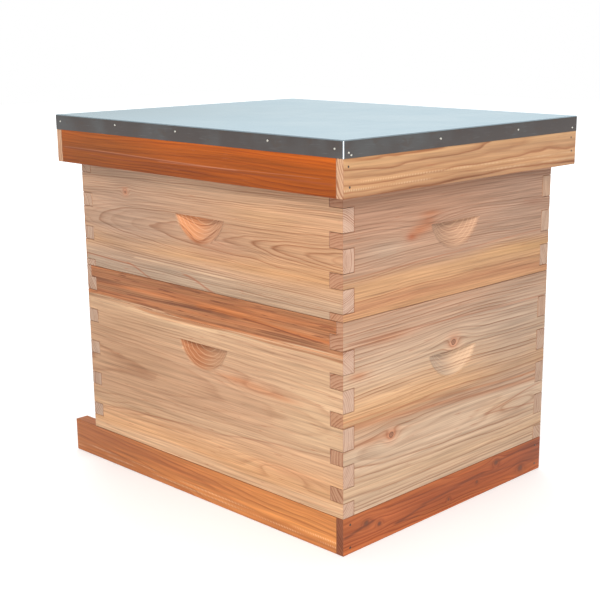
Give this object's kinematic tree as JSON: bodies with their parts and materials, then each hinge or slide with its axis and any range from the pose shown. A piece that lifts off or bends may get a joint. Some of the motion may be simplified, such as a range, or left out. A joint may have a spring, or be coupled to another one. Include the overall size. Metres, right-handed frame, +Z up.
{
  "type": "beehive",
  "caption": "Stacked timber beehive: finger-jointed boxes with half-moon handholds and hanging frames, on a bottom board with a landing, under a metal-capped telescoping cover.",
  "frame": {"origin": "on the ground, under the middle of the whole hive's outline, the landing and the cover's overhang included", "axes": "+Z up; -Y out of the entrance, over the landing; X across the hive, with +X on the right of someone who faces the entrance"},
  "size_m": [0.46, 0.5784, 0.5043],
  "materials": {
    "box_wood": "raw planed fir, matte, pinkish tan with brown growth rings",
    "base_side_wood": "raw fir stained orange by oil, satin",
    "base_back_wood": "reddish brown oiled fir, satin",
    "rim_dark_wood": "deep orange-brown oiled fir, satin",
    "rim_pale_wood": "golden oiled fir with planer marks, satin",
    "floor_wood": "raw planed fir, matte",
    "frame_wood": "raw pale fir, matte",
    "cover_panel_wood": "raw thin board, matte",
    "foundation_wax": "yellow beeswax sheet embossed with cells",
    "zinc_sheet": "galvanised sheet, satin top, duller folded skirt"
  },
  "bodies": {
    "bottom_board": {"bottom_rail_left": "base_side_wood", "bottom_rail_right": "base_side_wood", "bottom_rail_back": "base_back_wood", "floor_plank_1": "floor_wood", "floor_plank_2": "floor_wood", "floor_plank_3": "floor_wood"},
    "entrance_reducer": {"entrance_reducer": "floor_wood"},
    "deep_box": {"deep_board_front": "box_wood", "deep_board_back": "box_wood", "deep_board_left": "box_wood", "deep_board_right": "box_wood"},
    "deep_frame_01": {"deep_frame_01": "frame_wood"},
    "deep_frame_02": {"deep_frame_02": "frame_wood"},
    "deep_frame_03": {"deep_frame_03": "frame_wood"},
    "deep_frame_04": {"deep_frame_04": "frame_wood"},
    "deep_frame_05": {"deep_frame_05": "frame_wood"},
    "deep_frame_06": {"deep_frame_06": "frame_wood"},
    "deep_frame_07": {"deep_frame_07": "frame_wood"},
    "deep_frame_08": {"deep_frame_08": "frame_wood"},
    "deep_frame_09": {"deep_frame_09": "frame_wood"},
    "deep_frame_10": {"deep_frame_10_top_bar": "frame_wood", "deep_frame_10_end_bar_front": "frame_wood", "deep_frame_10_end_bar_back": "frame_wood", "deep_frame_10_bottom_bar": "frame_wood", "deep_frame_10_foundation": "foundation_wax"},
    "super_box": {"super_board_front": "box_wood", "super_board_back": "box_wood", "super_board_left": "box_wood", "super_board_right": "box_wood"},
    "super_frame_01": {"super_frame_01": "frame_wood"},
    "super_frame_02": {"super_frame_02": "frame_wood"},
    "super_frame_03": {"super_frame_03": "frame_wood"},
    "super_frame_04": {"super_frame_04": "frame_wood"},
    "super_frame_05": {"super_frame_05": "frame_wood"},
    "super_frame_06": {"super_frame_06": "frame_wood"},
    "super_frame_07": {"super_frame_07": "frame_wood"},
    "super_frame_08": {"super_frame_08": "frame_wood"},
    "super_frame_09": {"super_frame_09": "frame_wood"},
    "super_frame_10": {"super_frame_10_top_bar": "frame_wood", "super_frame_10_end_bar_front": "frame_wood", "super_frame_10_end_bar_back": "frame_wood", "super_frame_10_bottom_bar": "frame_wood", "super_frame_10_foundation": "foundation_wax"},
    "inner_cover": {"inner_rim_front": "cover_panel_wood", "inner_rim_back": "cover_panel_wood", "inner_rim_left": "cover_panel_wood", "inner_rim_right": "cover_panel_wood", "inner_panel": "cover_panel_wood"},
    "outer_cover": {"cover_rim_front": "rim_pale_wood", "cover_rim_back": "rim_pale_wood", "cover_rim_left": "rim_dark_wood", "cover_rim_right": "rim_dark_wood", "cover_panel": "cover_panel_wood", "cover_sheet": "zinc_sheet"}
  },
  "joints": [
    {"name": "reducer_slide", "type": "slide", "parent": "bottom_board", "child": "entrance_reducer", "axis": [0, -1, 0], "range_m": [0, 0.08]},
    {"name": "deep_lift", "type": "slide", "parent": "bottom_board", "child": "deep_box", "axis": [0, 0, 1], "range_m": [0, 0.1]},
    {"name": "super_lift", "type": "slide", "parent": "deep_box", "child": "super_box", "axis": [0, 0, 1], "range_m": [0, 0.3]},
    {"name": "inner_cover_lift", "type": "slide", "parent": "super_box", "child": "inner_cover", "axis": [0, 0, 1], "range_m": [0, 0.21]},
    {"name": "cover_lift", "type": "slide", "parent": "inner_cover", "child": "outer_cover", "axis": [0, 0, 1], "range_m": [0, 0.12]},
    {"name": "deep_frame_01_lift", "type": "slide", "parent": "deep_box", "child": "deep_frame_01", "axis": [0, 0, 1], "range_m": [0, 0.24]},
    {"name": "deep_frame_02_lift", "type": "slide", "parent": "deep_box", "child": "deep_frame_02", "axis": [0, 0, 1], "range_m": [0, 0.24]},
    {"name": "deep_frame_03_lift", "type": "slide", "parent": "deep_box", "child": "deep_frame_03", "axis": [0, 0, 1], "range_m": [0, 0.24]},
    {"name": "deep_frame_04_lift", "type": "slide", "parent": "deep_box", "child": "deep_frame_04", "axis": [0, 0, 1], "range_m": [0, 0.24]},
    {"name": "deep_frame_05_lift", "type": "slide", "parent": "deep_box", "child": "deep_frame_05", "axis": [0, 0, 1], "range_m": [0, 0.24]},
    {"name": "deep_frame_06_lift", "type": "slide", "parent": "deep_box", "child": "deep_frame_06", "axis": [0, 0, 1], "range_m": [0, 0.24]},
    {"name": "deep_frame_07_lift", "type": "slide", "parent": "deep_box", "child": "deep_frame_07", "axis": [0, 0, 1], "range_m": [0, 0.24]},
    {"name": "deep_frame_08_lift", "type": "slide", "parent": "deep_box", "child": "deep_frame_08", "axis": [0, 0, 1], "range_m": [0, 0.24]},
    {"name": "deep_frame_09_lift", "type": "slide", "parent": "deep_box", "child": "deep_frame_09", "axis": [0, 0, 1], "range_m": [0, 0.24]},
    {"name": "deep_frame_10_lift", "type": "slide", "parent": "deep_box", "child": "deep_frame_10", "axis": [0, 0, 1], "range_m": [0, 0.24]},
    {"name": "super_frame_01_lift", "type": "slide", "parent": "super_box", "child": "super_frame_01", "axis": [0, 0, 1], "range_m": [0, 0.168]},
    {"name": "super_frame_02_lift", "type": "slide", "parent": "super_box", "child": "super_frame_02", "axis": [0, 0, 1], "range_m": [0, 0.168]},
    {"name": "super_frame_03_lift", "type": "slide", "parent": "super_box", "child": "super_frame_03", "axis": [0, 0, 1], "range_m": [0, 0.168]},
    {"name": "super_frame_04_lift", "type": "slide", "parent": "super_box", "child": "super_frame_04", "axis": [0, 0, 1], "range_m": [0, 0.168]},
    {"name": "super_frame_05_lift", "type": "slide", "parent": "super_box", "child": "super_frame_05", "axis": [0, 0, 1], "range_m": [0, 0.168]},
    {"name": "super_frame_06_lift", "type": "slide", "parent": "super_box", "child": "super_frame_06", "axis": [0, 0, 1], "range_m": [0, 0.168]},
    {"name": "super_frame_07_lift", "type": "slide", "parent": "super_box", "child": "super_frame_07", "axis": [0, 0, 1], "range_m": [0, 0.168]},
    {"name": "super_frame_08_lift", "type": "slide", "parent": "super_box", "child": "super_frame_08", "axis": [0, 0, 1], "range_m": [0, 0.168]},
    {"name": "super_frame_09_lift", "type": "slide", "parent": "super_box", "child": "super_frame_09", "axis": [0, 0, 1], "range_m": [0, 0.168]},
    {"name": "super_frame_10_lift", "type": "slide", "parent": "super_box", "child": "super_frame_10", "axis": [0, 0, 1], "range_m": [0, 0.168]}
  ],
  "couplings": [
    {"joint": "deep_frame_01_lift", "follows": "super_lift", "ratio": 0.8},
    {"joint": "deep_frame_02_lift", "follows": "super_lift", "ratio": 0.8},
    {"joint": "deep_frame_03_lift", "follows": "super_lift", "ratio": 0.8},
    {"joint": "deep_frame_04_lift", "follows": "super_lift", "ratio": 0.8},
    {"joint": "deep_frame_05_lift", "follows": "super_lift", "ratio": 0.8},
    {"joint": "deep_frame_06_lift", "follows": "super_lift", "ratio": 0.8},
    {"joint": "deep_frame_07_lift", "follows": "super_lift", "ratio": 0.8},
    {"joint": "deep_frame_08_lift", "follows": "super_lift", "ratio": 0.8},
    {"joint": "deep_frame_09_lift", "follows": "super_lift", "ratio": 0.8},
    {"joint": "deep_frame_10_lift", "follows": "super_lift", "ratio": 0.8},
    {"joint": "super_frame_01_lift", "follows": "inner_cover_lift", "ratio": 0.8},
    {"joint": "super_frame_02_lift", "follows": "inner_cover_lift", "ratio": 0.8},
    {"joint": "super_frame_03_lift", "follows": "inner_cover_lift", "ratio": 0.8},
    {"joint": "super_frame_04_lift", "follows": "inner_cover_lift", "ratio": 0.8},
    {"joint": "super_frame_05_lift", "follows": "inner_cover_lift", "ratio": 0.8},
    {"joint": "super_frame_06_lift", "follows": "inner_cover_lift", "ratio": 0.8},
    {"joint": "super_frame_07_lift", "follows": "inner_cover_lift", "ratio": 0.8},
    {"joint": "super_frame_08_lift", "follows": "inner_cover_lift", "ratio": 0.8},
    {"joint": "super_frame_09_lift", "follows": "inner_cover_lift", "ratio": 0.8},
    {"joint": "super_frame_10_lift", "follows": "inner_cover_lift", "ratio": 0.8}
  ]
}
